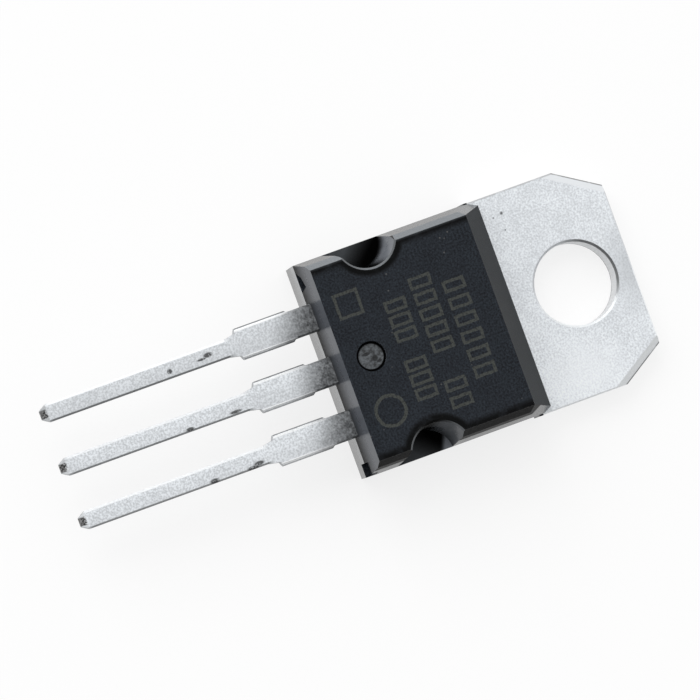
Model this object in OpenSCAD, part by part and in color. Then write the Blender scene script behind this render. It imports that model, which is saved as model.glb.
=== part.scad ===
// Voltage regulator in a through-hole power package: metal tab with a mounting hole,
// black moulded body and three straight flat leads.
// Millimetres. Origin on the hole axis at the back plane of the tab, +Y toward the tab end,
// leads toward -Y, +Z out of the front face of the body.

/* [Tab] */
// thickness of the tab and of the slug under the die
tab_thickness = 1.27; // [1:0.01:1.5]
// how far each side of the tab stands proud of the body
tab_step = 0.05; // [0.02:0.01:0.2]
// hole centre to the end of the tab
tab_end = 2.75; // [2.6:0.05:3.6]
// diameter of the mounting hole
hole_diameter = 3.84; // [3.4:0.02:4.2]
// rounding of the hole's rim on the front
hole_rim = 0.1; // [0.04:0.01:0.2]
// length of each cut corner along the tab
corner_length = 2.05; // [1:0.05:2.6]
// width of each cut corner across the tab
corner_width = 1.28; // [0.6:0.02:1.6]
// width of the rolled edge along the cut corners
corner_roll = 0.34; // [0.1:0.02:0.45]
// drop of the rolled edge across its width
roll_depth = 0.2; // [0.05:0.01:0.3]
// broken edge of the straight sides
side_break = 0.06; // [0.02:0.01:0.12]

/* [Moulded body] */
// width of the body at its parting line
body_width = 10.1; // [9.8:0.05:10.4]
// height of the top face over the back plane
body_height = 4.5; // [4.2:0.05:4.9]
// hole centre to the body, on the face of the tab
body_start = 3.05; // [2.8:0.05:3.6]
// hole centre to the lead end of the body
body_end = 12.32; // [12:0.02:13]
// height of the parting line and of the back of the leads
parting_height = 2.45; // [2.3:0.01:2.72]
// how far the sloping face over the tab leans back
front_run = 1.42; // [0.6:0.02:1.8]
// draft of each long side below the parting line
lower_side_draft = 0.03; // [0.01:0.01:0.3]
// draft of each long side above the parting line
upper_side_draft = 0.25; // [0.1:0.01:0.4]
// draft of the lead end below the parting line
lower_end_draft = 0.15; // [0.04:0.01:0.3]
// draft of the lead end above the parting line
upper_end_draft = 0.26; // [0.1:0.01:0.4]
// height of the more sloping band under the top face, along the long sides
band_height = 0.55; // [0.3:0.05:0.9]
// how far that band leans in
band_run = 0.26; // [0.1:0.01:0.4]
// width of the slanted corner facet on the face of the tab
facet_width = 0.2; // [0.06:0.01:0.34]
// length of the slanted corner facet along the side
facet_length = 0.4; // [0.2:0.02:0.6]

/* [Body details] */
// radius of each half-round side notch at the top face
notch_radius = 1.35; // [0.9:0.05:1.45]
// how much narrower each notch is at its floor
notch_draft = 0.22; // [0.1:0.01:0.4]
// how far each notch leans toward the leads from its rim to its floor
notch_lean = 0.2; // [0:0.01:0.22]
// rounding of each notch's mouth on the side of the leads
mouth_radius = 0.6; // [0.45:0.05:0.9]
// width of the broken edge around each notch
notch_rim = 0.09; // [0.03:0.01:0.12]
// hole centre to the notch centres
notch_centre = 9.2; // [8.6:0.05:9.6]
// side of the body to the notch centres
notch_outset = 0.03; // [0:0.01:0.3]
// ledge left between the notch floor and the parting line
notch_ledge = 0.05; // [0.03:0.01:0.3]
// diameter of the round ejector mark
ejector_diameter = 1.38; // [0.8:0.02:2]
// depth of the round ejector mark
ejector_depth = 0.16; // [0.05:0.01:0.4]
// lead end of the body to the centre of the ejector mark
ejector_inset = 1.57; // [1.4:0.01:2.2]
// width of the broken gate at one end corner
gate_width = 0.65; // [0.3:0.05:1]
// depth of the broken gate
gate_depth = 0.35; // [0.1:0.01:0.5]
// height of the broken gate
gate_height = 1.6; // [0.6:0.05:1.9]
// how far the broken gate reaches below the parting line
gate_drop = 1.05; // [0.5:0.05:1.4]
// length of the leaf-shaped void along the parting line at the other end corner
void_length = 0.95; // [0.3:0.05:1]
// height of the void
void_height = 0.75; // [0.1:0.01:0.9]
// depth of the void
void_depth = 0.35; // [0.1:0.01:0.4]
// side of the body to the near end of the void
void_inset = 0.35; // [0.3:0.05:0.6]
// gap between the sloping face's foot and the tab's shoulders
ear_setback = 0.05; // [0.02:0.01:0.1]
// length of the filled corner behind each tab shoulder
ear_length = 0.2; // [0.1:0.02:0.5]
// how far the filled corners stand proud of the tab sides
ear_flash = 0.02; // [0.01:0.01:0.05]
// how far the filled corners stay below both faces of the tab
ear_relief = 0.05; // [0.02:0.01:0.2]

/* [Leads] */
// spacing of the leads
lead_pitch = 2.54; // [2.4:0.01:2.7]
// thickness of the leads
lead_thickness = 0.5; // [0.4:0.01:0.6]
// width of the long narrow part
lead_width = 0.84; // [0.6:0.01:0.95]
// width of the shoulder
shoulder_width = 1.48; // [1.34:0.01:1.7]
// width of the neck beside the body
neck_width = 1.3; // [1.1:0.01:1.33]
// hole centre to the body side of the shoulder
shoulder_start = 13.4; // [13.2:0.05:13.8]
// length of the shoulder
shoulder_length = 2.6; // [1.5:0.05:3.2]
// run of the slope at each end of the shoulder
shoulder_slope = 0.1; // [0.04:0.01:0.2]
// length of the taper behind the shoulder
taper_length = 0.5; // [0.2:0.05:1]
// width left standing on each side where the taper starts
taper_width = 0.1; // [0.02:0.01:0.2]
// hole centre to the lead tips
lead_tip = 25.5; // [20:0.1:27]
// length of the point at each tip
tip_length = 0.36; // [0.1:0.02:0.6]
// width of each tip's blunt end
tip_width = 0.4; // [0.2:0.02:0.56]
// run of the sheared slope on the front of each tip
tip_shear = 0.29; // [0.1:0.01:0.4]
// broken back edge of each tip
tip_break = 0.1; // [0.04:0.01:0.15]
// broken edges of the necks and narrow parts
lead_break = 0.09; // [0.02:0.01:0.15]
// broken edges of the shoulders, where the joining bar was cut
shoulder_break = 0.13; // [0.02:0.01:0.2]

/* [Inside] */
// side of the body to the side of the slug at the back face
slug_inset = 0.9; // [0.7:0.01:1.3]
// lip on each side of the slug that the moulding grips
slug_lip = 0.25; // [0.1:0.01:0.4]
// back face to the foot of the lip
lip_foot = 0.53; // [0.3:0.01:0.7]
// height of the slope under the lip
lip_slope = 0.2; // [0.05:0.01:0.3]
// foot of the body to the end of the slug
slug_setback = 1.27; // [1.1:0.01:1.6]
// how far the output lead runs toward the tip while it rises
bend_run = 0.75; // [0.6:0.05:0.9]
// width of the bond posts
post_width = 1.9; // [1.7:0.05:2.1]
// length of the bond posts
post_length = 1.15; // [0.9:0.05:1.3]
// foot of the body to the lead end of the bond posts
post_inset = 0.27; // [0.15:0.01:0.4]
// hole centre to the centre of the die
die_centre = 7.9; // [7:0.05:8.2]
// width of the silicon die
die_width = 2.6; // [2.4:0.05:3.4]
// length of the silicon die
die_length = 2.4; // [2.3:0.05:3]
// thickness of the silicon die
die_thickness = 0.3; // [0.2:0.01:0.4]
// thickness of the solder under the die
solder_thickness = 0.06; // [0.03:0.01:0.1]
// how far the solder spreads past the die
solder_margin = 0.12; // [0.04:0.01:0.25]

/* [Bond wires] */
// diameter of the wires that carry the load
load_wire = 0.25; // [0.15:0.01:0.28]
// diameter of the wire of the adjust lead
adjust_size = 0.18; // [0.12:0.01:0.25]
// rise of the wires to the two side leads over the line between their feet
side_rise = 0.75; // [0.6:0.01:0.8]
// rise of the output wires over the line between their feet
output_rise = 0.5; // [0.4:0.01:0.7]
// edge of the die to the nearest foot
foot_inset = 0.42; // [0.36:0.01:0.5]
// spacing of the feet along the die
foot_pitch = 0.74; // [0.7:0.01:0.76]
// spacing of the two wires of a pair
pair_spacing = 0.8; // [0.7:0.01:0.86]
// inner end of the bond posts to the feet on them
post_foot = 0.45; // [0.35:0.01:0.6]
// end of the slug to the feet of the output wires
landing_inset = 0.5; // [0.35:0.01:0.6]

/* [Hidden] */
$fn = 64;

half_body = body_width / 2;
half_tab = half_body + tab_step;
lead_top = parting_height + lead_thickness;
shoulder_back = body_start + facet_length + ear_setback;
body_foot = body_end - lower_end_draft;
band_start = body_height - band_height;
band_half = half_body - upper_side_draft;
top_half = band_half - band_run;
top_start = body_start + front_run;
taper_start = shoulder_start + shoulder_length;
narrow_start = taper_start + taper_length;

slug_half = half_body - slug_inset;
slug_end = body_foot - slug_setback;
bend_end = slug_end + bend_run;
bend_mitre = lead_thickness * tan(atan2(lead_top - tab_thickness, bend_run) / 2);
post_start = body_foot - post_inset - post_length;
die_top = tab_thickness + solder_thickness + die_thickness;
first_row = -die_centre - die_length / 2 + foot_inset;
post_row = -post_start - post_foot;

// how far a cut reaches past the solid, and how far joined forms of one piece run into each other
over = 1;
lap = 0.1;

TIN = [0.78, 0.79, 0.8];
EPOXY = [0.1, 0.1, 0.11];
SOLDER = [0.6, 0.61, 0.63];
SILICON = [0.3, 0.32, 0.38];
WIRE = [0.85, 0.86, 0.87];

// outline in (y, z) stretched along X and centred on the part
module along_x(width) {
    rotate([90, 0, 90]) translate([0, 0, -width / 2]) linear_extrude(width) children();
}

// outline in (x, z) stretched between two distances from the hole toward the leads
module toward_leads(near, far) {
    translate([0, -near, 0]) rotate([90, 0, 0]) linear_extrude(far - near) children();
}

// everything on the outer side of the plane through point p with outward normal n
module beyond(p, n) {
    size = 4 * body_width;
    translate(p) rotate([0, acos(n[2] / norm(n)), atan2(n[1], n[0])])
        translate([-size / 2, -size / 2, 0]) cube(size);
}

module on_both_sides() {
    for (side = [0, 1]) mirror([side, 0, 0]) children();
}

// the points of one side of an outline followed by their mirror images in X
function mirrored(p) = [for (i = [len(p) - 1:-1:0]) [-p[i][0], p[i][1]]];
function both_sides(p) = concat(p, mirrored(p));

// flat bar section: the front edges broken, the back edges half as much
module bar_section(width, edge) {
    w = width / 2;
    polygon(both_sides([
        [w - edge / 2, parting_height], [w, parting_height + edge / 2],
        [w, lead_top - edge], [w - edge, lead_top]
    ]));
}

// plan of one lead, from its root inside the body to its pointed tip
module lead_plan(root) {
    neck = neck_width / 2;
    shoulder = shoulder_width / 2;
    narrow = lead_width / 2;
    polygon(both_sides([
        [neck, -root], [neck, -shoulder_start], [shoulder, -shoulder_start - shoulder_slope],
        [shoulder, shoulder_slope - taper_start], [narrow + taper_width, -taper_start],
        [narrow, -narrow_start], [narrow, tip_length - lead_tip], [tip_width / 2, -lead_tip]
    ]));
}

// side view of one lead: the tip is sheared to a slope on the front and broken on the back
module lead_side(root) {
    polygon([
        [-root, parting_height], [-root, lead_top], [tip_shear - lead_tip, lead_top],
        [-lead_tip, lead_top - lead_thickness / 2], [-lead_tip, parting_height + tip_break],
        [tip_break - lead_tip, parting_height]
    ]);
}

// one lead from its root outward, centred on x = 0
module lead_blank(root) {
    intersection() {
        union() {
            toward_leads(root, shoulder_start) bar_section(neck_width, lead_break);
            toward_leads(shoulder_start - lap, narrow_start) bar_section(shoulder_width, shoulder_break);
            toward_leads(narrow_start, lead_tip) bar_section(lead_width, lead_break);
        }
        linear_extrude(body_height) lead_plan(root);
        along_x(2 * shoulder_width) lead_side(root);
    }
}

// outer lead with the wide bond post that the moulding holds
module side_lead() {
    union() {
        lead_blank(post_start + lap);
        translate([-post_width / 2, -post_start - post_length, parting_height])
            cube([post_width, post_length, lead_thickness]);
    }
}

// tab with its hole and its cut and rolled corners
module tab_plate() {
    cut_start = tab_end - corner_length;
    out = [corner_length, corner_width] / norm([corner_length, corner_width]);
    difference() {
        linear_extrude(tab_thickness) polygon(both_sides([
            [half_tab, -shoulder_back], [half_tab, cut_start], [half_tab - corner_width, tab_end]
        ]));
        on_both_sides() {
            beyond([half_tab - out[0] * corner_roll, cut_start - out[1] * corner_roll, tab_thickness],
                   [out[0] * roll_depth, out[1] * roll_depth, corner_roll]);
            beyond([half_tab, 0, tab_thickness - side_break], [1, 0, 1]);
        }
        beyond([0, tab_end, tab_thickness - side_break], [0, 1, 1]);
        translate([0, 0, -over]) cylinder(h = tab_thickness + 2 * over, d = hole_diameter);
        translate([0, 0, tab_thickness - hole_rim])
            cylinder(h = 2 * hole_rim, r1 = hole_diameter / 2, r2 = hole_diameter / 2 + 2 * hole_rim);
    }
}

// slug under the die, with a lip along each side that the moulding grips
module slug() {
    toward_leads(shoulder_back - lap, slug_end) polygon(both_sides([
        [slug_half, 0], [slug_half, lip_foot], [slug_half + slug_lip, lip_foot + lip_slope],
        [slug_half + slug_lip, tab_thickness]
    ]));
}

// rise of the output lead from the face of the slug to the height of the other leads
module bend() {
    root = slug_end - lap;
    end = bend_end + bend_mitre + lap;
    foot = tab_thickness - lead_thickness;
    along_x(neck_width) polygon([
        [-root, foot], [-slug_end - bend_mitre, foot], [-bend_end - bend_mitre, parting_height],
        [-end, parting_height], [-end, lead_top], [-bend_end, lead_top],
        [-slug_end, tab_thickness], [-root, tab_thickness]
    ]);
}

module tab_and_output_lead() color(TIN) {
    union() {
        tab_plate();
        slug();
        bend();
        lead_blank(bend_end + bend_mitre);
    }
}

module adjust_lead() color(TIN) translate([-lead_pitch, 0, 0]) side_lead();

module input_lead() color(TIN) translate([lead_pitch, 0, 0]) side_lead();

// outer form of the moulding: drafted on every side from the parting line
module body_form() {
    side_at_tab = half_body - lower_side_draft * (1 - tab_thickness / parting_height);
    facet = [[side_at_tab - facet_width, -body_start, tab_thickness],
             [side_at_tab, -body_start - facet_length, tab_thickness],
             [top_half, -top_start, body_height]];
    normal = cross(facet[2] - facet[0], facet[1] - facet[0]);
    difference() {
        intersection() {
            along_x(2 * body_width) polygon([
                [-shoulder_back, 0], [-body_foot, 0], [-body_end, parting_height],
                [upper_end_draft - body_end, body_height], [-top_start, body_height],
                [-body_start, tab_thickness], [-shoulder_back, tab_thickness]
            ]);
            toward_leads(0, body_end + over) polygon(both_sides([
                [half_body - lower_side_draft, 0], [half_body, parting_height], [band_half, band_start],
                [top_half, body_height]
            ]));
        }
        on_both_sides() beyond(facet[0], normal);
    }
}

// filled corner of the moulding behind each shoulder of the tab
module ears() {
    inner = half_body - lower_side_draft - lap;
    outer = half_tab + ear_flash;
    on_both_sides() translate([inner, -shoulder_back - ear_length, ear_relief])
        cube([outer - inner, ear_length, tab_thickness - 2 * ear_relief]);
}

// upright cone with this radius at z = 0 and wider by gain a rise higher, between two heights
// counted in rises
module cone_through(radius, gain, rise, low, high) {
    translate([0, 0, low * rise])
        cylinder(h = (high - low) * rise, r1 = radius + low * gain, r2 = radius + high * gain);
}

// core of one notch with its rim at z = 0: a drafted round wall that runs out to the side of the
// body over a rounded mouth toward the leads
module notch_core(rise) {
    inward = notch_outset + mouth_radius + notch_draft;
    along = sqrt(pow(notch_radius + mouth_radius, 2) - inward * inward);
    reach = 2 * notch_radius;
    cone_through(notch_radius, notch_draft, rise, -2, 0.5);
    difference() {
        translate([0, 0, -2 * rise]) linear_extrude(2.5 * rise)
            polygon([[-inward, -along], [0, 0], [reach, 0], [reach, -along]]);
        translate([-inward, -along, 0]) cone_through(mouth_radius, -notch_draft, rise, -3, 1);
    }
}

// half-round notches, leaning toward the leads, with a flat floor and a broken rim
module notches() {
    floor_height = parting_height + notch_ledge;
    rise = body_height - floor_height;
    size = 6 * notch_radius;
    on_both_sides() translate([half_body + notch_outset, -notch_centre, 0]) {
        intersection() {
            translate([0, 0, body_height]) rotate([-atan2(notch_lean, rise), 0, 0]) notch_core(rise);
            translate([-size / 2, -size / 2, floor_height]) cube(size);
        }
        translate([0, 0, body_height - 2 * notch_rim])
            cylinder(h = 4 * notch_rim, r1 = notch_radius - notch_rim, r2 = notch_radius + 3 * notch_rim);
    }
}

// marks of the mould: ejector pin on the top face, gate and leaf-shaped void at the lead end
module mould_marks() {
    translate([0, ejector_inset - body_end, body_height - ejector_depth])
        cylinder(h = ejector_depth + over, d = ejector_diameter);
    translate([half_body - gate_width, -body_end - over, parting_height - gate_drop])
        cube([gate_width + over, gate_depth + over, gate_height]);
    translate([void_inset - half_body, 0, parting_height])
        toward_leads(body_end - void_depth, body_end + over) polygon([
            [0, 0], [0.3 * void_length, 0.7 * void_height], [0.8 * void_length, void_height],
            [void_length, 0]
        ]);
}

module moulded_body() color(EPOXY) {
    difference() {
        union() {
            body_form();
            ears();
        }
        notches();
        mould_marks();
        tab_and_output_lead();
        adjust_lead();
        input_lead();
        die_solder();
        silicon_die();
        adjust_wire();
        input_wire_1();
        input_wire_2();
        output_wire_1();
        output_wire_2();
    }
}

// flat slab on the slug, centred under the die
module die_slab(margin, height, thickness) {
    translate([-die_width / 2 - margin, -die_centre - die_length / 2 - margin, height])
        cube([die_width + 2 * margin, die_length + 2 * margin, thickness]);
}

module die_solder() color(SOLDER) die_slab(solder_margin, tab_thickness, solder_thickness);

module silicon_die() color(SILICON) die_slab(0, tab_thickness + solder_thickness, die_thickness);

// bond wire: a pressed foot on each landing and one arc between them
module bond_wire(from, to, size, rise) {
    foot_height = 0.8 * size;
    foot_width = 2.4 * size;
    wire_height = foot_height - size / 4;
    span = to - from;
    chord = norm(span);
    radius = (chord * chord / 4 + rise * rise) / (2 * rise);
    half = asin(chord / 2 / radius);
    union() {
        for (p = [from, to]) translate(p) cylinder(h = foot_height, d = foot_width);
        translate((from + to) / 2 + [0, 0, wire_height])
            rotate([0, -asin(span[2] / chord), atan2(span[1], span[0])])
                rotate([90, 0, 0]) translate([0, rise - radius, 0]) rotate([0, 0, 90 - half])
                    rotate_extrude(angle = 2 * half) translate([radius, 0]) circle(d = size);
    }
}

module adjust_wire() color(WIRE)
    bond_wire([foot_inset - die_width / 2, first_row + foot_pitch, die_top],
              [-lead_pitch, post_row, lead_top], adjust_size, side_rise);

// the two wires of the input lead start in separate rows and share its post
module input_wire(row, shift) {
    bond_wire([die_width / 2 - foot_inset, first_row + row * foot_pitch, die_top],
              [lead_pitch + shift, post_row, lead_top], load_wire, side_rise);
}

module input_wire_1() color(WIRE) input_wire(1, -pair_spacing / 2);

module input_wire_2() color(WIRE) input_wire(2, pair_spacing / 2);

// the two output wires land on the slug beside the die
module output_wire(shift) {
    bond_wire([shift, first_row, die_top], [shift, landing_inset - slug_end, tab_thickness],
              load_wire, output_rise);
}

module output_wire_1() color(WIRE) output_wire(-pair_spacing / 2);

module output_wire_2() color(WIRE) output_wire(pair_spacing / 2);

tab_and_output_lead();
adjust_lead();
input_lead();
moulded_body();
die_solder();
silicon_die();
adjust_wire();
input_wire_1();
input_wire_2();
output_wire_1();
output_wire_2();
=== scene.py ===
"""Looks of a through-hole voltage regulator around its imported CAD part.

Holds the materials, the floor, the light and the camera.
Lengths are in metres in the frame of the part: X across, +Y toward the tab end, leads toward -Y, +Z up.
The materials work in millimetres, which is the scale of their grain.
"""
from functools import reduce

import bpy
from mathutils import Matrix, Vector


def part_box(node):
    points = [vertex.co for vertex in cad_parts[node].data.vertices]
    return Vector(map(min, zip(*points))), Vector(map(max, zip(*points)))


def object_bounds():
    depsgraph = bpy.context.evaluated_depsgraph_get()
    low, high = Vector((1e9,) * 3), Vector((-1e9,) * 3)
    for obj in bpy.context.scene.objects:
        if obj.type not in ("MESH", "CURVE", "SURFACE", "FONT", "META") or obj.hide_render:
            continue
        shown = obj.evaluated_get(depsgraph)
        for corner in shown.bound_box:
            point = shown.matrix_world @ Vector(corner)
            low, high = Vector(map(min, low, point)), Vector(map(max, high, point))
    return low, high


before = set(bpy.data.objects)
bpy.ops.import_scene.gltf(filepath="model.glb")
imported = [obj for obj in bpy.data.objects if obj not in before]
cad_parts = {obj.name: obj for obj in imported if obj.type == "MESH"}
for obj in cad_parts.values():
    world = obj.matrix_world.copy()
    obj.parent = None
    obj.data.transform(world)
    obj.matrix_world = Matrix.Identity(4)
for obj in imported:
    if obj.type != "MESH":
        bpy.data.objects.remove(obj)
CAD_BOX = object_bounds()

MM = 0.001

# sizes read from the frame, in millimetres
BODY_LOW, BODY_HIGH = (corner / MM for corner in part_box("moulded_body"))
METAL_LOW, METAL_HIGH = (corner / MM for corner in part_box("tab_and_output_lead"))
LEAD_LOW, LEAD_HIGH = (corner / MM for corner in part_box("adjust_lead"))
TOP = BODY_HIGH.z
LEAD_END = BODY_LOW.y
TIP = METAL_LOW.y
LEAD_PITCH = -(LEAD_LOW.x + LEAD_HIGH.x) / 2

# sizes of the part that the boxes don't give, in millimetres
TAB_THICKNESS = 1.27
HOLE_RADIUS = 1.92
CORNER_LENGTH = 2.05
CORNER_WIDTH = 1.28
CORNER_SIDE = Vector((CORNER_LENGTH, CORNER_WIDTH)).normalized()
PARTING_HEIGHT = 2.45
NARROW_HALF = 0.42
SHOULDER_HALF = 0.74
SHOULDER_START = LEAD_END - 1.1
SHOULDER_END = LEAD_END - 3.7
NARROW_START = SHOULDER_END - 0.5
TAPER_START = TIP + 0.5
NOTCH_CENTRE = -9.2
NOTCH_RADIUS = 1.35


class Graph:
    """A node tree, built one socket at a time. Each call returns the socket that carries its result."""

    def __init__(self, tree):
        self.tree = tree
        tree.nodes.clear()

    def put(self, socket, value):
        if isinstance(value, bpy.types.NodeSocket):
            self.tree.links.new(value, socket)
        elif value is not None:
            socket.default_value = value

    def node(self, kind, inputs=None, **settings):
        made = self.tree.nodes.new(kind)
        for name, value in settings.items():
            setattr(made, name, value)
        for key, value in (inputs or {}).items():
            self.put(made.inputs[key], value)
        return made

    def math(self, operation, a, b=None):
        return self.node("ShaderNodeMath", {0: a, 1: b}, operation=operation).outputs[0]

    def chain(self, operation, values):
        """Takes the values together two at a time, from the first to the last."""
        return reduce(lambda a, b: self.math(operation, a, b), values)

    def add(self, *values):
        return self.chain("ADD", values)

    def subtract(self, a, b):
        return self.math("SUBTRACT", a, b)

    def multiply(self, *values):
        return self.chain("MULTIPLY", values)

    def highest(self, *values):
        return self.chain("MAXIMUM", values)

    def lowest(self, *values):
        return self.chain("MINIMUM", values)

    def distance(self, x, y, centre=(0.0, 0.0)):
        """Distance from a centre in the plane of x and y."""
        across = self.subtract(x, centre[0])
        along = self.subtract(y, centre[1])
        return self.math("SQRT", self.add(self.multiply(across, across), self.multiply(along, along)))

    def ramp(self, value, low, high, start=0.0, end=1.0, smooth=False):
        """start where value is low or less, end where it is high or more."""
        kind = "SMOOTHSTEP" if smooth else "LINEAR"
        inputs = {"Value": value, "From Min": low, "From Max": high, "To Min": start, "To Max": end}
        return self.node("ShaderNodeMapRange", inputs, interpolation_type=kind).outputs["Result"]

    def between(self, value, low, high, soft):
        """1 from low to high, falling to 0 over the distance soft outside them."""
        return self.lowest(self.ramp(value, low - soft, low), self.ramp(value, high, high + soft, 1, 0))

    def mix(self, factor, a, b):
        return self.node("ShaderNodeMix", {0: factor, 6: a, 7: b}, data_type="RGBA").outputs[2]

    def stretched(self, vector, x, y, z):
        inputs = {0: vector, 1: (x, y, z)}
        return self.node("ShaderNodeVectorMath", inputs, operation="MULTIPLY").outputs[0]

    def noise(self, vector, size, detail=2.0, rough=0.5):
        """Noise between 0 and 1 with patches about size millimetres across."""
        inputs = {"Vector": vector, "Scale": 1 / size, "Detail": detail, "Roughness": rough}
        return self.node("ShaderNodeTexNoise", inputs).outputs["Fac"]

    def spots(self, vector, size):
        """Distance to the nearest of many points about size millimetres apart, as a share of size."""
        inputs = {"Vector": vector, "Scale": 1 / size}
        return self.node("ShaderNodeTexVoronoi", inputs).outputs["Distance"]

    def ellipse(self, x, y, centre, half, soft):
        """1 inside an ellipse with its axes along X and Y, falling to 0 at its edge."""
        across = self.multiply(self.subtract(x, centre[0]), 1 / half[0])
        along = self.multiply(self.subtract(y, centre[1]), 1 / half[1])
        return self.ramp(self.distance(across, along), 1 - soft, 1, 1, 0)

    def bump(self, height, depth, strength):
        inputs = {"Height": height, "Distance": depth * MM, "Strength": strength}
        return self.node("ShaderNodeBump", inputs).outputs["Normal"]


class Skin(Graph):
    """The nodes of a material of the part. Its colour is built up by laying one tone over another.

    place is the place on the part in millimetres, and x, y and z are its coordinates.
    nx, ny and nz are the direction in which the surface faces there.
    """

    def __init__(self, name):
        self.material = bpy.data.materials.new(name)
        self.material.use_nodes = True
        super().__init__(self.material.node_tree)
        inputs = {0: self.node("ShaderNodeTexCoord").outputs["Object"], "Scale": 1 / MM}
        self.place = self.node("ShaderNodeVectorMath", inputs, operation="SCALE").outputs[0]
        self.x, self.y, self.z = self.node("ShaderNodeSeparateXYZ", {0: self.place}).outputs
        facing = self.node("ShaderNodeNewGeometry").outputs["Normal"]
        self.nx, self.ny, self.nz = self.node("ShaderNodeSeparateXYZ", {0: facing}).outputs
        self.colour = None

    def cover(self, factor, tone):
        """Lays a tone over the colour: fully where factor is 1, not at all where it is 0."""
        self.colour = self.mix(factor, self.colour, tone)

    def finish(self, metallic, roughness, normal=None, **fixed):
        """Closes the tree with one Principled shader. fixed holds further numbers, the same all over."""
        inputs = {"Base Color": self.colour, "Metallic": metallic, "Roughness": roughness,
                  "Normal": normal}
        inputs.update({name.replace("_", " "): value for name, value in fixed.items()})
        shader = self.node("ShaderNodeBsdfPrincipled", inputs)
        self.node("ShaderNodeOutputMaterial", {"Surface": shader.outputs[0]})
        return self.material


def grey(level, tint=0.0):
    """A grey of this linear level, a little blue where tint is above 0."""
    return (level * (1 - tint), level, level * (1 + tint), 1)


# Grain of the materials: size of its patches in millimetres
FINE_GRAIN = 0.09
METAL_PATCH = 0.7
METAL_CLOUD = 3.0
METAL_STREAK = 0.06
EPOXY_PATCH = 0.9
SPECK_PITCH = 0.5

# Tinned metal. Scars: lead, place along Y, place across the lead, half width, half length.
SCARS = [(-1, -17.46, -0.02, 0.14, 0.26), (-1, -17.80, 0.08, 0.07, 0.26), (-1, -19.35, 0.10, 0.14, 0.15),
         (0, -19.37, 0.30, 0.10, 0.24), (0, -17.14, 0.26, 0.09, 0.36), (1, -19.12, 0.31, 0.13, 0.26),
         (1, -16.94, 0.24, 0.12, 0.30), (1, -17.25, 0.34, 0.10, 0.34)]
# Pits: X, Y, radius. Patches: centre and half width and length.
TAB_PITS = [(-4.14, -2.15, 0.10), (-3.36, -2.24, 0.05), (-4.05, -2.58, 0.05)]
TAB_DULL = ((0.2, 2.7), (2.6, 1.7))
TAB_BRIGHT = ((3.9, -1.0), (1.8, 2.4))
# Painted shade on the leads beside the body: how far it reaches and how it slants across each lead
BODY_SHADE_LENGTH = 2.35
BODY_SHADE_SLANT = 0.45
SHEAR_WIDTH = 0.17
SHEAR_LENGTH = 0.22
EDGE_WIDTH = 0.09
RIM_WIDTH = 0.12
RIM_HEIGHT = TAB_THICKNESS - 0.15
BURR_HEIGHT = TAB_THICKNESS - 0.27


def tab_face(g):
    """A dull and a bright patch on the face of the tab."""
    g.cover(g.multiply(g.ellipse(g.x, g.y, *TAB_DULL, 0.8), 0.55), grey(0.5, 0.04))
    g.cover(g.multiply(g.ellipse(g.x, g.y, *TAB_BRIGHT, 0.8), 0.6), grey(1.0, 0.03))


def pressed_edges_and_highlights(g, patch):
    """Rolled corners and broken edges: pressed smooth, with a painted highlight on them that is brighter
    toward +X, where the light is dimmer, and a dark burr outside them.
    """
    pressed = g.between(g.nz, 0.55, 0.93, 0.04)
    # painted highlight on the sloped faces, brighter toward +X to make up for the dimmer light there
    g.cover(pressed, g.mix(g.ramp(g.x, -0.5, 0.5), grey(0.74, 0.03), grey(1.0, 0.03)))
    beside = g.multiply(g.subtract(METAL_HIGH.x, g.math("ABSOLUTE", g.x)), CORNER_SIDE.x)
    inward = g.add(beside, g.multiply(g.subtract(METAL_HIGH.y, g.y), CORNER_SIDE.y))
    corner_burr = g.ramp(g.subtract(inward, CORNER_WIDTH * CORNER_SIDE.x), 0.03, 0.07, 1, 0)
    g.cover(g.multiply(corner_burr, g.ramp(patch, 0.38, 0.5, 0.45, 0.85)), grey(0.12))
    edge_burr = g.ramp(g.add(g.x, METAL_HIGH.x), 0.05, 0.09, 1, 0)
    edge_burr = g.multiply(edge_burr, g.ramp(g.z, BURR_HEIGHT, BURR_HEIGHT + 0.05))
    g.cover(g.multiply(edge_burr, g.ramp(patch, 0.38, 0.5, 0.2, 0.6)), grey(0.3))
    return pressed


def sheared_sides(g, patch, on_lead):
    """Sides with streaks across the thickness, brighter on the tab; the darker tone on the leads is
    painted shade along their edges. Along the lower edge a burr, with a painted contact shadow.
    """
    side = g.ramp(g.math("ABSOLUTE", g.nz), 0.2, 0.6, 1, 0)
    streak = g.noise(g.stretched(g.place, 1, 1, 0.12), METAL_STREAK, 2, 0.6)
    # painted contact shadow along the lower edge, where the burr is
    burr = g.multiply(g.ramp(g.z, 0.06, 0.12, 1, 0), g.ramp(patch, 0.4, 0.55, 0.4, 1))
    # painted shade: the lead sides are darker than the tab sides
    lead_side = g.mix(streak, grey(0.3, 0.03), grey(0.75, 0.03))
    tab_side = g.mix(streak, grey(0.75, 0.03), grey(1.0))
    sheared = g.mix(on_lead, tab_side, lead_side)
    g.cover(g.multiply(side, 0.9), g.mix(g.multiply(burr, 0.8), sheared, grey(0.08)))


def hole_rim_shade(g):
    """Painted shade on the edge of the mounting hole, on its side toward the end of the tab, which faces
    away from the light.
    """
    rim = g.ramp(g.distance(g.x, g.y), HOLE_RADIUS + RIM_WIDTH, HOLE_RADIUS + RIM_WIDTH + 0.02, 1, 0)
    rim = g.multiply(rim, g.ramp(g.z, RIM_HEIGHT, RIM_HEIGHT + 0.04))
    shaded = g.ramp(g.add(g.multiply(g.nx, -0.43), g.multiply(g.ny, 0.9)), -0.55, -0.3, 1, 0)
    # painted shade on the side of the rim away from the light
    g.cover(g.multiply(rim, shaded, 0.75), grey(0.1))


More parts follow.
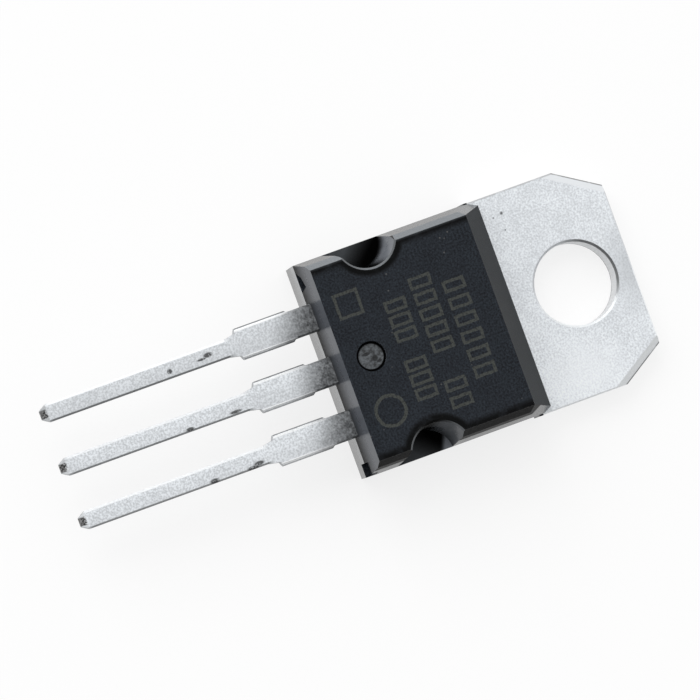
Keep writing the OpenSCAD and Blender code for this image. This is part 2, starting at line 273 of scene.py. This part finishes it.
def lead_edge_highlights_and_shade(g, across, wander):
    """How strong the lines along the edges of the lead faces are: white ones of painted highlight and
    dark ones of painted shade.
    """
    shoulder = g.between(g.y, SHOULDER_END, SHOULDER_START, 0.05)
    narrow = g.between(g.y, TAPER_START, NARROW_START, 0.3)
    place = g.add(across, g.multiply(g.subtract(wander, 0.5), 0.03))
    away = g.math("ABSOLUTE", place)
    rim = g.ramp(away, SHOULDER_HALF - 0.06, SHOULDER_HALF - 0.04)
    band = g.between(away, SHOULDER_HALF - EDGE_WIDTH - 0.07, SHOULDER_HALF - 0.07, 0.02)
    left_narrow = g.ramp(place, EDGE_WIDTH - NARROW_HALF, EDGE_WIDTH - NARROW_HALF + 0.04, 1, 0)
    right_narrow = g.ramp(place, NARROW_HALF - EDGE_WIDTH, NARROW_HALF - EDGE_WIDTH + 0.03)
    white = g.highest(g.multiply(shoulder, band), g.multiply(narrow, left_narrow, 0.8))
    shoulder_edge_shade = g.multiply(shoulder, rim, g.ramp(across, -0.01, 0.01, 0.75, 0.3))
    dark = g.highest(shoulder_edge_shade, g.multiply(narrow, right_narrow, 0.62))
    return white, dark


def lead_faces(g, across, on_lead, fine, patch):
    """Painted shade on the leads: a duller tone, more so toward +X on each, with lines of painted
    highlight (white) and painted shade (dark) at the edges.

    The lead at -X is nearest to the light and gets a little extra of the painted shade.
    """
    # painted shade, darker toward +X on each lead and a little darker on the lead at -X
    dull = g.add(g.ramp(across, -NARROW_HALF, NARROW_HALF, 0.02, 0.3), g.ramp(g.x, -2, -1, 0.16, 0))
    g.cover(g.multiply(on_lead, dull), grey(0.5, 0.03))
    g.cover(g.multiply(on_lead, g.ramp(fine, 0.38, 0.6, 1, 0), 0.16), grey(0.38, 0.03))
    white, dark = lead_edge_highlights_and_shade(g, across, patch)
    face = g.multiply(on_lead, g.ramp(g.nz, 0.3, 0.5))
    # painted highlights and painted shade along the lead edges
    g.cover(g.multiply(white, face), grey(1.0, 0.02))
    g.cover(g.multiply(dark, face), grey(0.06))


def lead_body_shade(g, across, on_lead, fine, patch):
    """Painted shade on the leads beside the body, standing for the body's shadow and its dark reflection,
    fading with the distance from the body.
    """
    ragged_y = g.add(g.y, g.multiply(across, BODY_SHADE_SLANT), g.multiply(g.subtract(patch, 0.5), 0.8))
    body_shade = g.ramp(ragged_y, LEAD_END - BODY_SHADE_LENGTH, LEAD_END - 0.1, smooth=True)
    blotch = g.ramp(g.noise(g.place, 0.2, 2, 0.6), 0.35, 0.6, 0.8, 1)
    tone = g.mix(g.ramp(fine, 0.35, 0.65), grey(0.02, 0.05), grey(0.1, 0.05))
    # painted shade and dark reflection of the body on the leads
    g.cover(g.multiply(body_shade, blotch, on_lead, 0.95), tone)


def lead_tips(g, across, fine):
    """Dark middle of the sheared tips."""
    sheared_y = g.add(g.y, g.multiply(g.subtract(fine, 0.5), 0.25))
    tip = g.ramp(sheared_y, TIP + SHEAR_LENGTH, TIP + SHEAR_LENGTH + 0.06, 1, 0)
    middle = g.ramp(g.math("ABSOLUTE", across), SHEAR_WIDTH, SHEAR_WIDTH + 0.05, 1, 0)
    g.cover(g.multiply(tip, middle), g.mix(g.ramp(fine, 0.4, 0.6), grey(0.03), grey(0.3)))


def metal_marks(g, fine):
    """Scars on the leads and pits on the tab, broken up by the grain."""
    spots = [g.ellipse(g.x, g.y, (lead * LEAD_PITCH + across, along), (half_width, half_length), 0.4)
             for lead, along, across, half_width, half_length in SCARS]
    spots += [g.ellipse(g.x, g.y, (across, along), (radius, radius), 0.7)
              for across, along, radius in TAB_PITS]
    return g.multiply(g.highest(*spots), g.ramp(fine, 0.34, 0.44, 0.4, 1), g.ramp(g.nz, 0.3, 0.5))


def tinned_metal():
    g = Skin("tinned_metal")
    fine = g.noise(g.place, FINE_GRAIN, 1, 0.5)
    patch = g.noise(g.place, METAL_PATCH, 3, 0.6)
    cloud = g.noise(g.place, METAL_CLOUD, 2, 0.5)
    mottle = g.add(g.multiply(patch, 0.16), g.multiply(cloud, 0.22), g.multiply(fine, 0.62))
    on_lead = g.ramp(g.z, TAB_THICKNESS + 0.1, TAB_THICKNESS + 0.2)
    nearest_lead = g.multiply(g.math("ROUND", g.multiply(g.x, 1 / LEAD_PITCH)), LEAD_PITCH)
    across = g.subtract(g.x, nearest_lead)

    g.colour = g.mix(g.ramp(mottle, 0.38, 0.62), grey(0.72, 0.04), grey(1.0, 0.04))
    tab_face(g)
    pressed = pressed_edges_and_highlights(g, patch)
    sheared_sides(g, patch, on_lead)
    hole_rim_shade(g)
    lead_faces(g, across, on_lead, fine, patch)
    lead_body_shade(g, across, on_lead, fine, patch)
    lead_tips(g, across, fine)
    marks = metal_marks(g, fine)
    g.cover(g.multiply(marks, 0.9), grey(0.03))

    height = g.subtract(mottle, g.multiply(marks, 0.6))
    roughness = g.add(g.ramp(fine, 0.3, 0.7, 0.38, 0.54), g.multiply(pressed, -0.1))
    return g.finish(0.5, roughness, g.bump(height, 0.02, 0.7), IOR=1.5)


# Moulded epoxy. Rows of marks: left end, number of boxes, pitch, Y of the middle.
MARK_ROWS = [(-2.19, 6, 0.813, -6.07), (-2.80, 5, 0.75, -7.50), (2.05, 2, 0.79, -7.55),
             (-2.15, 3, 0.70, -8.92), (0.66, 3, 0.68, -8.95)]
MARK_HEIGHT = 1.05
MARK_WIDTH = 0.56
MARK_STROKE = 0.14
RING_CENTRE = (2.59, -10.77)
RING_RADIUS = 0.76
SQUARE_CENTRE = (-2.55, -10.95)
SQUARE_SIDE = 1.2
PIN_CENTRE = (0.0, LEAD_END + 1.57)
PIN_RADIUS = 0.69
PIN_DISC = 0.6
# Scrapes on the ejector mark: place from its centre, half width and half length.
PIN_SCRAPES = [((-0.16, -0.18), (0.09, 0.26)), ((0.12, 0.16), (0.2, 0.15)), ((0.3, 0.3), (0.08, 0.16))]
# Height above which the side toward +X gets painted shade
SHADED_SIDE_HEIGHT = 3.3
# Spans of the painted highlight at the -X edge of the top face and of the painted shade near its long
# sides and the notches
EDGE_HIGHLIGHT_SPAN = (0.54, 0.7)
EDGE_SHADE_SPAN = (0.65, 1.0)
NOTCH_SHADE_SPAN = (NOTCH_RADIUS + 0.25, NOTCH_RADIUS + 0.5)
PARTING_LINE = (PARTING_HEIGHT - 0.03, PARTING_HEIGHT)
# Tones of painted light on the notch walls: a lit one and a shaded one
NOTCH_LIT = (0.2, 0.215, 0.24, 1)
NOTCH_SHADED = (0.13, 0.14, 0.155, 1)
# Tone of the painted reflection of the floor on the upper end face
END_UPPER_REFLECTION = (0.11, 0.12, 0.14, 1)
GRAIN_DARK = (0.001, 0.002, 0.005, 1)
GRAIN_LIGHT = (0.021, 0.028, 0.037, 1)
MARK_TONE = (0.074, 0.078, 0.068, 1)
EPOXY_SPECULAR = 0.22


def top_face(g):
    """1 on the top face."""
    return g.ramp(g.z, TOP - 0.02, TOP - 0.01)


def from_long_side(g):
    """Distance from the nearer long side of the body."""
    return g.subtract(BODY_HIGH.x, g.math("ABSOLUTE", g.x))


def notch_zone(g):
    """1 in the cylinder around each notch and above its ledge, and the distance from its axis."""
    from_axis = g.distance(g.math("ABSOLUTE", g.x), g.y, (BODY_HIGH.x, NOTCH_CENTRE))
    above_ledge = g.ramp(g.z, PARTING_HEIGHT + 0.01, PARTING_HEIGHT + 0.04)
    inside = g.ramp(from_axis, NOTCH_RADIUS + 0.03, NOTCH_RADIUS + 0.05, 1, 0)
    return g.multiply(inside, above_ledge), from_axis


def mould_skin(g):
    """How matte each face is, 1 on the textured top and front and 0 on the sides, and the upper side
    toward +X, which gets painted shade.
    """
    textured = g.ramp(g.nz, 0.6, 0.8)
    front = g.multiply(g.ramp(g.ny, 0.6, 0.8), g.ramp(g.nz, 0.3, 0.38))
    # the upper side toward +X, away from the light, which gets painted shade
    worn = g.multiply(g.ramp(g.nx, 0.5, 0.7), g.ramp(g.z, SHADED_SIDE_HEIGHT, SHADED_SIDE_HEIGHT + 0.15))
    return g.highest(textured, front, worn), worn


def edge_shade_and_highlight(g, from_axis, coarse):
    """Top face near its long sides and the notches: a dark band of painted shade, and a painted highlight
    at the edge toward -X, the side of the light.
    """
    away = from_long_side(g)
    near_notch = g.ramp(from_axis, *NOTCH_SHADE_SPAN, 1, 0, smooth=True)
    near = g.highest(g.ramp(away, *EDGE_SHADE_SPAN, 1, 0, smooth=True), near_notch)
    pale = g.multiply(top_face(g), g.ramp(g.x, -1, 1, 1, 0), g.ramp(away, *EDGE_HIGHLIGHT_SPAN, 1, 0))
    edge_shade = g.multiply(near, top_face(g), g.ramp(coarse, 0.35, 0.5, 0.5, 1), g.subtract(1.0, pale))
    # painted highlight on the edge toward the light
    g.cover(pale, grey(0.075, 0.1))
    # painted shade near the long sides and the notches
    g.cover(g.multiply(edge_shade, 0.85), grey(0.0))
    return edge_shade


def slopes(g, fine, worn):
    """Dark front slope; on the side toward -X a pale band of painted highlight over a dark wall; the
    upper side toward +X painted near black as shade away from the light.
    """
    front = g.multiply(g.ramp(g.ny, 0.6, 0.8), g.ramp(g.nz, 0.2, 0.3))
    g.cover(front, g.mix(g.ramp(fine, 0.35, 0.65), grey(0.0), grey(0.028, 0.15)))
    side = g.ramp(g.nx, -0.7, -0.5, 1, 0)
    g.cover(g.multiply(side, g.ramp(g.nz, 0.25, 0.35, 1, 0)), grey(0.004))
    # painted highlight on the band toward -X, on the side of the light
    g.cover(g.multiply(side, g.ramp(g.nz, 0.25, 0.35)), g.mix(fine, grey(0.15, 0.08), grey(0.26, 0.08)))
    # painted shade on the upper side toward +X, away from the light
    g.cover(worn, grey(0.002))


def end_face(g, coarse):
    """End face: a pale lower strip, painted reflection of the floor, that brightens toward the parting
    line; above the line a mid-grey painted reflection, dull just above the line.
    """
    end = g.ramp(g.ny, -0.75, -0.6, 1, 0)
    lower = g.multiply(end, g.ramp(g.z, *PARTING_LINE, 1, 0))
    upper = g.multiply(end, g.ramp(g.z, *PARTING_LINE))
    dull = g.multiply(upper, g.ramp(g.z, PARTING_HEIGHT + 0.15, PARTING_HEIGHT + 1.5, 1, 0))
    # painted reflection of the floor above the parting line, dark just above it
    g.cover(upper, g.mix(dull, END_UPPER_REFLECTION, grey(0.004)))
    pale = g.ramp(g.z, 1.0, PARTING_HEIGHT - 0.2, 0.02, 0.24)
    pale = g.add(pale, g.ramp(coarse, 0.35, 0.65, -0.02, 0.04))
    # painted reflection of the floor on the lower strip, brighter toward the parting line
    g.cover(lower, g.mix(pale, grey(0.0), grey(1.0, 0.06)))
    return lower, dull


def notch_walls(g, zone, from_axis):
    """The wall toward the tab gets painted light, a lit tone at -X and a shaded tone at +X, and the rim a
    painted highlight. Returns the painted shade on the rest of the wall.
    """
    wall = g.multiply(zone, g.ramp(g.nz, 0.5, 0.6, 1, 0))
    toward_tab = g.ramp(g.ny, -0.6, 0.1, 1, 0, smooth=True)
    lit_from = g.ramp(g.x, -1, 1, PARTING_HEIGHT, PARTING_HEIGHT - 1.5)
    lit = g.multiply(wall, toward_tab, g.ramp(g.z, lit_from, TOP - 1.1, smooth=True))
    # painted shade: the whole wall goes black first
    g.cover(wall, grey(0.001))
    # painted light on the wall toward the tab, fading toward the floor
    g.cover(g.multiply(lit, 0.9), g.mix(g.ramp(g.x, -1, 1), NOTCH_LIT, NOTCH_SHADED))
    rim = g.between(from_axis, NOTCH_RADIUS - 0.02, NOTCH_RADIUS + 0.09, 0.02)
    # painted highlight on the rounded rim
    g.cover(g.multiply(rim, g.ramp(g.z, TOP - 0.12, TOP - 0.08), 0.8), grey(0.16, 0.05))
    return g.multiply(g.subtract(wall, lit), 0.9)


def notch_floor(g, zone):
    """Painted light on the floor: lighter toward the leads and, at +X, toward the tab beside the lit
    wall. Returns the painted shade on the rest of it.
    """
    floor_face = g.multiply(zone, g.ramp(g.nz, 0.9, 0.95), g.ramp(g.z, TOP - 0.5, TOP - 0.4, 1, 0))
    away = from_long_side(g)
    toward_lead = g.subtract(g.subtract(NOTCH_CENTRE, g.y), g.ramp(away, 0, 1))
    lead_share = g.ramp(g.multiply(toward_lead, 0.7), -0.7, 0.3)
    toward_tab = g.subtract(g.subtract(g.y, NOTCH_CENTRE), g.multiply(away, 0.45))
    tab_share = g.multiply(g.ramp(toward_tab, 0.25, 0.6, smooth=True), g.ramp(g.x, -1, 1))
    # painted light on the floor toward the leads, black elsewhere
    tone = g.mix(lead_share, grey(0.0), grey(0.05, 0.1))
    # painted light toward the tab at +X, beside the lit wall
    g.cover(floor_face, g.mix(tab_share, tone, NOTCH_LIT))
    return g.multiply(floor_face, g.subtract(1.0, g.highest(lead_share, tab_share)))


def frame_line(g, x, y, centre, width, height):
    """Line just inside a rectangle."""
    across = g.subtract(width / 2, g.math("ABSOLUTE", g.subtract(x, centre[0])))
    along = g.subtract(height / 2, g.math("ABSOLUTE", g.subtract(y, centre[1])))
    return g.between(g.lowest(across, along), 0.01, MARK_STROKE - 0.01, 0.02)


def mark_rows(g, x, y):
    """Rows of plain open boxes."""
    rows = []
    for start, count, pitch, middle in MARK_ROWS:
        step = g.multiply(g.subtract(x, start), 1 / pitch)
        cell = g.multiply(g.subtract(g.math("FRACT", step), 0.5), pitch)
        box = frame_line(g, cell, y, (0.0, middle), MARK_WIDTH, MARK_HEIGHT)
        rows.append(g.multiply(box, g.between(step, 0.0, float(count), 0.001)))
    return g.highest(*rows)


def top_marks(g, fine):
    """Laser marks on the top face: rows of boxes, a ring and a square, with uneven strokes."""
    flat = g.node("ShaderNodeCombineXYZ", {0: g.x, 1: g.y}).outputs[0]
    wander = g.multiply(g.subtract(g.noise(flat, 0.3), 0.5), 0.1)
    x, y = g.add(g.x, wander), g.subtract(g.y, wander)
    ring = g.between(g.distance(x, y, RING_CENTRE), RING_RADIUS - MARK_STROKE, RING_RADIUS, 0.02)
    square = frame_line(g, x, y, SQUARE_CENTRE, SQUARE_SIDE, SQUARE_SIDE)
    marks = g.highest(mark_rows(g, x, y), ring, square)
    return g.multiply(marks, top_face(g), g.ramp(fine, 0.32, 0.56, 0.35, 1))


def pin_mark(g):
    """Ejector mark: a worn disc with scrapes in a black ring of painted shade at the edge of the recess.
    Returns 1 in the ring.
    """
    recess = g.ellipse(g.x, g.y, PIN_CENTRE, (PIN_RADIUS, PIN_RADIUS), 0.04)
    recess = g.multiply(recess, g.between(g.z, TOP - 0.3, TOP - 0.1, 0.04))
    disc = g.ellipse(g.x, g.y, PIN_CENTRE, (PIN_DISC, PIN_DISC), 0.08)
    x, y = g.subtract(g.x, PIN_CENTRE[0]), g.subtract(g.y, PIN_CENTRE[1])
    scrapes = [g.ellipse(x, y, centre, half, 0.4) for centre, half in PIN_SCRAPES]
    grain = g.noise(g.stretched(g.place, 1, 0.7, 1), 0.13, 2, 0.6)
    worn = g.mix(g.ramp(grain, 0.35, 0.65), grey(0.04, 0.05), grey(0.14, 0.08))
    worn = g.mix(g.multiply(g.highest(*scrapes), 0.8), worn, grey(0.006))
    # painted shade: the ring around the disc goes black
    g.cover(recess, g.mix(disc, grey(0.0), worn))
    return g.multiply(recess, g.subtract(1.0, disc))


def epoxy():
    g = Skin("moulded_epoxy")
    fine = g.noise(g.place, FINE_GRAIN, 2, 0.7)
    coarse = g.noise(g.place, EPOXY_PATCH, 3, 0.5)
    grain = g.add(g.multiply(fine, 0.85), g.multiply(coarse, 0.15))
    specks = g.multiply(g.ramp(g.spots(g.place, SPECK_PITCH), 0.06, 0.1, 1, 0), g.ramp(coarse, 0.5, 0.55))
    zone, from_axis = notch_zone(g)
    matte, worn = mould_skin(g)

    g.colour = g.mix(g.ramp(grain, 0.38, 0.64), GRAIN_DARK, GRAIN_LIGHT)
    g.cover(g.multiply(specks, 0.8), grey(0.09))
    edge_shade = edge_shade_and_highlight(g, from_axis, coarse)
    slopes(g, fine, worn)
    lower_end, dull_end = end_face(g, coarse)
    painted_wall_shade = notch_walls(g, zone, from_axis)
    painted_floor_shade = notch_floor(g, zone)
    marks = top_marks(g, fine)
    g.cover(g.multiply(marks, 0.72), MARK_TONE)
    ring = pin_mark(g)

    # painted shade: the shaded notch floors and walls, the dark bands near the top edges, the upper side
    # toward +X and the ejector ring get a black base that is almost fully metallic, so that they stay
    # dark from every side
    shaded_side_band = g.multiply(worn, g.ramp(g.nz, 0.25, 0.35))
    painted_shade = g.highest(painted_floor_shade, painted_wall_shade, g.multiply(edge_shade, 0.6), shaded_side_band, ring)
    g.cover(painted_shade, grey(0.0))

    roughness = g.subtract(g.ramp(matte, 0.0, 1.0, 0.2, 0.62), g.multiply(edge_shade, 0.36))
    roughness = g.add(roughness, g.subtract(g.multiply(dull_end, 0.35), g.multiply(lower_end, 0.08)))
    roughness = g.add(roughness, g.add(g.ramp(fine, 0.3, 0.7, -0.06, 0.06), g.multiply(marks, 0.15)))
    height = g.add(grain, g.multiply(marks, -0.4))
    normal = g.bump(height, 0.014, g.ramp(matte, 0.0, 1.0, 0.15, 0.9))
    return g.finish(g.multiply(painted_shade, 0.9), roughness, normal, Specular_IOR_Level=EPOXY_SPECULAR)


# Pieces inside the moulding: width and height of a cell of the die, and of the line around it
DIE_CELL = (0.5, 0.3)
DIE_LINE = 0.02


def solder():
    g = Skin("soft_solder")
    patch = g.noise(g.place, 0.15, 3, 0.6)
    g.colour = g.mix(patch, grey(0.3, 0.02), grey(0.6, 0.02))
    return g.finish(0.9, g.ramp(patch, 0.3, 0.7, 0.3, 0.55), g.bump(patch, 0.01, 0.6))


def silicon():
    g = Skin("polished_silicon")
    inputs = {"Vector": g.place, "Scale": 1.0, "Mortar Size": DIE_LINE,
              "Brick Width": DIE_CELL[0], "Row Height": DIE_CELL[1],
              "Color1": grey(0.1, 0.2), "Color2": grey(0.16, 0.3), "Mortar": grey(0.5)}
    g.colour = g.node("ShaderNodeTexBrick", inputs).outputs["Color"]
    haze = g.noise(g.place, 0.4, 2, 0.5)
    g.cover(g.multiply(haze, 0.3), grey(0.3, 0.1))
    return g.finish(0.4, g.ramp(haze, 0.3, 0.7, 0.12, 0.25))


def wire():
    g = Skin("aluminium_wire")
    drawn = g.noise(g.stretched(g.place, 1, 0.2, 1), 0.03, 2, 0.6)
    g.colour = g.mix(drawn, grey(0.6, 0.01), grey(0.8, 0.01))
    return g.finish(1.0, g.ramp(drawn, 0.3, 0.7, 0.25, 0.45), g.bump(drawn, 0.003, 0.5))


FINISHES = {
    tinned_metal: ["tab_and_output_lead", "adjust_lead", "input_lead"],
    epoxy: ["moulded_body"],
    solder: ["die_solder"],
    silicon: ["silicon_die"],
    wire: ["adjust_wire", "input_wire_1", "input_wire_2", "output_wire_1", "output_wire_2"],
}


def dress():
    for make, names in FINISHES.items():
        finish = make()
        for name in names:
            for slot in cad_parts[name].material_slots:
                slot.material = finish


# Floor, light and camera
FLOOR_SIDE = 3.0
FLOOR_GAP = 0.02 * MM
FLOOR_GLOW = 0.78
SKY_DARK = 0.2
SKY_BRIGHT = 1.2
SKY_SIDE = (-0.95, 0.3, 0.0)
KEY_PLACE = Vector((-0.42, -0.18, 0.42))
KEY_SIDE = 0.45
KEY_POWER = 1.6
CAMERA_PLACE = Vector((5.354, -97.128, 409.599)) * MM
CAMERA_RIGHT = Vector((0.34234, 0.92031, 0.18931))
CAMERA_DOWN = Vector((0.93947, -0.33221, -0.08393))
SENSOR = 36.0
LENS = 475.6
NEAREST = 0.01
FARTHEST = 10.0


def floor():
    """Plain pale paper. It glows to the camera, so that it is near white and keeps a soft shadow."""
    mesh = bpy.data.meshes.new("floor")
    half = FLOOR_SIDE / 2
    corners = [(-half, -half, 0), (half, -half, 0), (half, half, 0), (-half, half, 0)]
    mesh.from_pydata(corners, [], [(0, 1, 2, 3)])
    made = bpy.data.objects.new("floor", mesh)
    made.location.z = CAD_BOX[0].z - FLOOR_GAP
    bpy.context.collection.objects.link(made)
    paper = bpy.data.materials.new("pale_paper")
    paper.use_nodes = True
    g = Graph(paper.node_tree)
    path = g.node("ShaderNodeLightPath").outputs
    seen = g.highest(path["Is Camera Ray"], path["Is Glossy Ray"], path["Is Transmission Ray"])
    shader = g.node("ShaderNodeBsdfDiffuse", {"Color": grey(1 - FLOOR_GLOW)}).outputs[0]
    inputs = {"Color": grey(1.0), "Strength": g.multiply(seen, FLOOR_GLOW)}
    glow = g.node("ShaderNodeEmission", inputs).outputs[0]
    both = g.node("ShaderNodeAddShader", {0: shader, 1: glow}).outputs[0]
    g.node("ShaderNodeOutputMaterial", {"Surface": both})
    mesh.materials.append(paper)


def sky():
    """Studio dome, bright on one side and dark on the other. The camera sees it plain white."""
    world = bpy.data.worlds.new("studio")
    world.use_nodes = True
    bpy.context.scene.world = world
    g = Graph(world.node_tree)
    direction = g.node("ShaderNodeTexCoord").outputs["Generated"]
    inputs = {0: direction, 1: SKY_SIDE}
    toward = g.node("ShaderNodeVectorMath", inputs, operation="DOT_PRODUCT").outputs["Value"]
    level = g.ramp(toward, -1, 1, SKY_DARK, SKY_BRIGHT)
    camera_ray = g.node("ShaderNodeLightPath").outputs["Is Camera Ray"]
    inputs = {"Color": grey(1.0), "Strength": g.highest(level, camera_ray)}
    back = g.node("ShaderNodeBackground", inputs).outputs[0]
    g.node("ShaderNodeOutputWorld", {"Surface": back})


def key_light():
    lamp = bpy.data.lights.new("key", "AREA")
    lamp.shape = "SQUARE"
    lamp.size = KEY_SIDE
    lamp.energy = KEY_POWER
    made = bpy.data.objects.new("key", lamp)
    made.location = KEY_PLACE
    made.rotation_euler = (-KEY_PLACE).to_track_quat("-Z", "Y").to_euler()
    bpy.context.collection.objects.link(made)


def camera():
    lens = bpy.data.cameras.new("camera")
    lens.sensor_width = SENSOR
    lens.lens = LENS
    lens.clip_start = NEAREST
    lens.clip_end = FARTHEST
    made = bpy.data.objects.new("camera", lens)
    back = CAMERA_RIGHT.cross(-CAMERA_DOWN)
    turn = Matrix((CAMERA_RIGHT, -CAMERA_DOWN, back)).transposed().to_4x4()
    made.matrix_world = Matrix.Translation(CAMERA_PLACE) @ turn
    bpy.context.collection.objects.link(made)
    bpy.context.scene.camera = made


dress()
floor()
sky()
key_light()
camera()
bpy.context.scene.view_settings.view_transform = "Standard"
